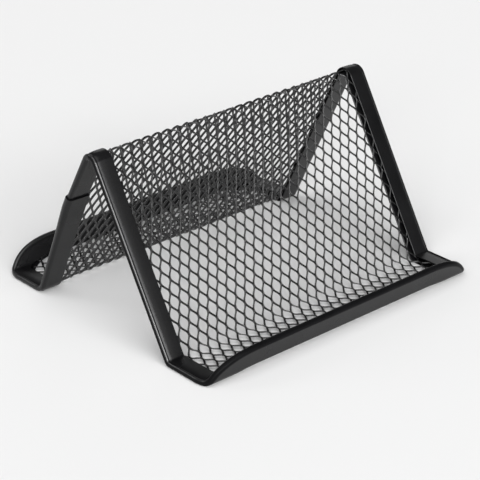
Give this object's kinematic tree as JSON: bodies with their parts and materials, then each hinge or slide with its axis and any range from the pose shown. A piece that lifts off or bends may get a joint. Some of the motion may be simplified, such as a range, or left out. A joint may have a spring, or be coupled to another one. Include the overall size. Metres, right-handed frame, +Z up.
{
  "type": "business card stand",
  "caption": "Free-standing A-frame card stand of black expanded metal, with a shallow card tray and raised lip on each side and a folded steel strip binding its whole edge.",
  "frame": {"origin": "on the table, under the middle of the ridge", "axes": "+X along the ridge, -Y towards the front tray, +Z up"},
  "size_m": [0.1008, 0.0982, 0.0536],
  "materials": {
    "binding": "satin black powder coat on steel strip",
    "mesh": "satin black powder coat on expanded steel"
  },
  "bodies": {
    "root": {"front_binding": "binding", "rear_binding": "binding", "front_slope_mesh": "mesh", "rear_slope_mesh": "mesh", "ridge_mesh": "mesh", "front_tray_mesh": "mesh", "rear_tray_mesh": "mesh"}
  },
  "joints": []
}
